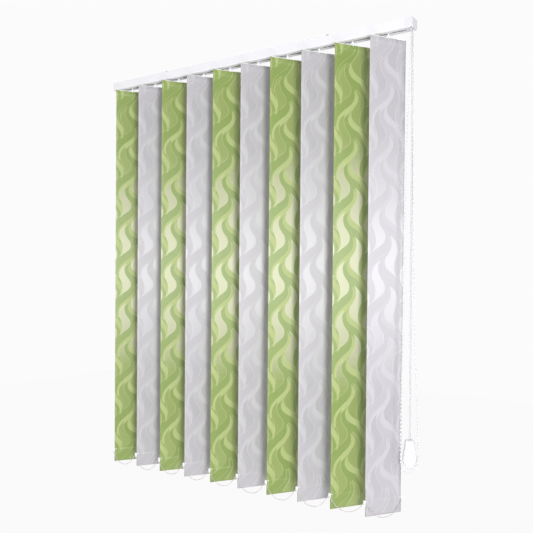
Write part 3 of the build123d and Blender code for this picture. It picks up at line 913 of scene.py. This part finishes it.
@dataclass
class ControlLines:
    """Bead chain that tilts the vanes, and the draw cord that moves them, with its weight."""

    finishes: Finishes
    bead_diameter: float = 5.0
    bead_spacing: float = 12.0
    bead_stretch: float = 1.35
    cord_diameter: float = 2.0
    sprocket_x: float = NEAR_END - 5.5
    rod_y: float = -7.9
    rod_z: float = -19.5
    bead_turn: float = 8.0
    drop_x: float = NEAR_END - 10.5
    cord_z: float = -11.5
    weight_top: float = VANE_TOP - 1227.0
    weight_x: float = LAST_HOOK + 80.0
    weight_y: float = 9.0

    def chain_route(self) -> list[tuple[float, float, float]]:
        """Over the sprocket, down the front, round below the weight and up the rear.

        Returns:
            The route points in metres.
        """
        x, z = self.sprocket_x, self.rod_z + self.bead_turn
        front, rear = self.rod_y - self.bead_turn, self.rod_y + self.bead_turn
        h, v = LAST_HOOK, VANE_TOP
        points = [
            (x, self.rod_y - 0.3, z), (x, front, z), (x, front, z - 16), (x, front, v - 60), (h + 70, -24, v - 350),
            (h + 69, -27, v - 800), (h + 66.6, -29.6, v - 1070), (h + 65.8, -30.6, v - 1195),
            (h + 65.6, -31, v - 1256), (h + 67, -30, v - 1298), (h + 76, -21, v - 1320),
            (h + 93, -4.5, v - 1325), (h + 105.5, 7, v - 1302), (h + 107, 8.8, v - 1262),
            (h + 104.5, 9.6, v - 1190), (h + 97, 11.4, v - 1050), (h + 86, 12, v - 800), (h + 80, 8, v - 350),
            (x, rear, v - 60), (x, rear, z - 16), (x, rear, z), (x, self.rod_y + 0.3, z),
        ]
        return [(a * MM, b * MM, c * MM) for a, b, c in points]

    def cord_route(self) -> list[tuple[float, float, float]]:
        """From the leading carrier round the idle pulley, along the rail, down to the weight and back.

        Returns:
            The route points in metres.
        """
        z, x, near, far, turn = self.cord_z, self.drop_x, 6.0, 16.0, 5.0
        pulley = FIRST_HOOK - 85.0 + 20.0 - turn
        bottom = self.weight_top - 9.0 - turn
        points = [
            (FIRST_HOOK - 2, near, z), (pulley + 12, near, z), (pulley, near, z), (pulley, far, z),
            (pulley + 12, far, z), (x - 12, far, z), (x, far, z), (x, far, z - 12), (x, far, z - 60),
            (self.weight_x, self.weight_y + turn, self.weight_top + 30),
            (self.weight_x, self.weight_y + turn, bottom + 12), (self.weight_x, self.weight_y + turn, bottom),
            (self.weight_x, self.weight_y - turn, bottom), (self.weight_x, self.weight_y - turn, bottom + 12),
            (self.weight_x, self.weight_y - turn, self.weight_top + 30),
            (x, near, z - 60), (x, near, z - 12), (x, near, z), (x - 12, near, z), (FIRST_HOOK + 2, near, z),
        ]
        return [(a * MM, b * MM, c * MM) for a, b, c in points]

    def build_chain(self) -> None:
        """Makes the bead chain."""
        route = self.chain_route()
        points = smooth_route(route, 20)
        line = Line(points)
        work = bmesh.new()
        add_thread(work, points, 0.6 * MM, 5)
        for place, ahead in line.stations(self.bead_spacing * MM):
            add_bead(work, place, ahead, self.bead_diameter / 2 * MM, self.bead_stretch)
        piece = piece_from(work, "control_bead_chain")
        self.finishes.dress(piece, "chain")
        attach(piece, "rail")
        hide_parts("bead_chain")
        line.lengths()[-1]
        LOG.info("%s: %.0f mm", piece.name, line.lengths()[-1] / MM)

    def build_cord(self) -> None:
        """Makes the draw cord."""
        route = self.cord_route()
        points = smooth_route(route, 20)
        line = Line(points)
        work = bmesh.new()
        add_thread(work, points, self.cord_diameter / 2 * MM, 10)
        piece = piece_from(work, "draw_cord_braid")
        self.finishes.dress(piece, "cord")
        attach(piece, "rail")
        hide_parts("draw_cord")
        line.lengths()[-1]
        LOG.info("%s: %.0f mm", piece.name, line.lengths()[-1] / MM)

    def build(self) -> None:
        """Makes both lines."""
        self.build_chain()
        self.build_cord()


@dataclass
class Fixtures:
    """The CAD nodes that keep their shape and get their real finish."""

    finishes: Finishes
    plain: dict[str, str] = field(default_factory=lambda: {
        "headrail": "paint", "control_end_cap": "cap", "far_end_cap": "cap", "mounting_clips": "clip",
        "tilt_rod": "rod", "chain_sprocket": "gear", "cord_weight": "bob",
    })
    numbered: dict[str, str] = field(default_factory=lambda: {
        "carrier": "carrier", "worm": "gear", "stem": "stem", "vane_fittings": "fitting",
    })

    def build(self) -> None:
        """Dresses every node that stays."""
        keys = dict(self.plain)
        for name, key in self.numbered.items():
            for number in range(1, VANES + 1):
                keys[f"{name}_{number:02d}"] = key
        for name, key in keys.items():
            self.finishes.dress(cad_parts[name], key)
        LOG.info("%d fixtures dressed", len(keys))


@dataclass
class Studio:
    """Camera, floor and soft light of the photograph."""

    focal_px: float = 643.4
    frame_px: float = 533.0
    eye: tuple[float, float, float] = (1312.3, -1863.9, -792.9)
    yaw: float = 32.95
    pitch: float = -0.854
    roll: float = 0.487
    centre_drop_px: float = 24.47
    floor_z: float = -2.35

    def camera(self) -> None:
        """Places the camera that was fitted to the vanes' corners."""
        yaw, pitch, roll = (math.radians(a) for a in (self.yaw, self.pitch, self.roll))
        ahead = Vector((-math.sin(yaw) * math.cos(pitch), math.cos(yaw) * math.cos(pitch), math.sin(pitch)))
        right = Vector((math.cos(yaw), math.sin(yaw), 0.0))
        up = right.cross(ahead)
        turned_right = right * math.cos(roll) + up * math.sin(roll)
        turned_up = up * math.cos(roll) - right * math.sin(roll)
        turn = Matrix((turned_right, turned_up, -ahead)).transposed().to_4x4()
        lens = bpy.data.cameras.new("camera")
        lens.sensor_width = 36.0
        lens.lens = lens.sensor_width * self.focal_px / self.frame_px
        lens.shift_y = self.centre_drop_px / self.frame_px
        lens.clip_end = 50.0
        camera = bpy.data.objects.new("camera", lens)
        bpy.context.scene.collection.objects.link(camera)
        camera.matrix_world = Matrix.Translation(Vector(self.eye) * MM) @ turn
        bpy.context.scene.camera = camera

    def lamp(
        self, name: str, place: tuple[float, float, float], aim: tuple[float, float, float],
        size: tuple[float, float], power: float, colour: tuple[float, float, float] = (1.0, 1.0, 1.0),
    ) -> None:
        """Adds one soft box.

        Args:
            name: The lamp's name.
            place: Where it stands, in metres.
            aim: Where it points.
            size: Its width and height in metres.
            power: Its power in watts.
            colour: Its light's colour.
        """
        data = bpy.data.lights.new(name, "AREA")
        data.shape = "RECTANGLE"
        data.size, data.size_y = size
        data.energy = power
        data.color = colour
        data.use_nodes = True
        tree = data.node_tree
        tree.nodes.clear()
        reach = add_node(tree, "LightFalloff", {}, {"Strength": 1.0})
        glow = add_node(tree, "Emission", {}, {"Strength": reach.outputs["Linear"]})
        add_node(tree, "OutputLight", {}, {"Surface": glow.outputs[0]})
        lamp = bpy.data.objects.new(name, data)
        bpy.context.scene.collection.objects.link(lamp)
        direction = Vector(aim) - Vector(place)
        lamp.matrix_world = Matrix.Translation(place) @ direction.to_track_quat("-Z", "Y").to_matrix().to_4x4()

    def floor(self) -> None:
        """Lays a plain floor that shows white and keeps the shadow."""
        work = bmesh.new()
        bmesh.ops.create_grid(
            work, x_segments=1, y_segments=1, size=7.0, matrix=Matrix.Translation((0, 0, self.floor_z))
        )
        piece = piece_from(work, "floor", smooth=False)
        material, tree = new_material("studio_floor")
        speck = add_node(
            tree, "TexNoise", {},
            {"Vector": add_node(tree, "TexCoord").outputs["Object"], "Scale": 40.0, "Detail": 2.0},
        ).outputs[0]
        tone = add_node(tree, "Mix", {"data_type": "RGBA"}, {0: speck, 6: linear("E4E4E6"), 7: linear("DFDFE2")})
        shader = add_node(tree, "BsdfPrincipled", {}, {"Base Color": tone.outputs[2], "Roughness": 0.8})
        glow = add_node(tree, "Emission", {}, {"Color": linear("FCFBFC"), "Strength": 1.0})
        seen = self.seen(tree)
        share = calculate(tree, "MULTIPLY", seen, 0.97)
        both = add_node(tree, "MixShader", {}, {0: share, 1: shader.outputs[0], 2: glow.outputs[0]})
        add_node(tree, "OutputMaterial", {}, {"Surface": both.outputs[0]})
        piece.data.materials.append(material)

    def seen(self, tree: bpy.types.NodeTree) -> bpy.types.NodeSocket:
        """Tells the rays that look at the background from those that light the blind.

        Args:
            tree: The node tree.

        Returns:
            One for camera, glossy and transmission rays.
        """
        path = add_node(tree, "LightPath")
        mirror = calculate(tree, "MAXIMUM", path.outputs["Is Glossy Ray"], path.outputs["Is Transmission Ray"])
        return calculate(tree, "MAXIMUM", path.outputs["Is Camera Ray"], mirror)

    def world(self) -> None:
        """Sets the white background and the room's own soft light."""
        world = bpy.data.worlds.new("studio")
        bpy.context.scene.world = world
        world.use_nodes = True
        tree = world.node_tree
        tree.nodes.clear()
        fill = add_node(tree, "Background", {}, {"Color": linear("F5F5F8"), "Strength": 0.68})
        white = add_node(tree, "Background", {}, {"Color": linear("FCFBFC"), "Strength": 1.0})
        both = add_node(tree, "MixShader", {}, {0: self.seen(tree), 1: fill.outputs[0], 2: white.outputs[0]})
        add_node(tree, "OutputWorld", {}, {"Surface": both.outputs[0]})

    def build(self) -> None:
        """Sets the whole studio."""
        self.camera()
        self.floor()
        self.world()
        self.lamp("key_box", (1.86, -1.82, -0.7), (0.0, 0.0, -0.76), (0.42, 0.8), 17.5)
        self.lamp("fill_box", (-2.2, -2.9, -0.3), (0.0, 0.0, -0.7), (1.6, 1.6), 9.5)
        self.lamp("table_bounce", (1.3, -1.27, -2.2), (0.0, 0.0, -0.2), (0.7, 0.7), 3.0)
        bpy.context.scene.view_settings.view_transform = "Standard"
        LOG.info("studio set")


def main() -> None:
    """Builds the blind in its order."""
    logging.basicConfig(level=logging.INFO, format="%(name)s: %(message)s")
    Studio().build()
    finishes = Finishes().build()
    ControlLines(finishes).build()
    BottomChain(finishes).build()
    Fixtures(finishes).build()
    VaneSet(finishes).build()


if __name__ == "__main__":
    main()
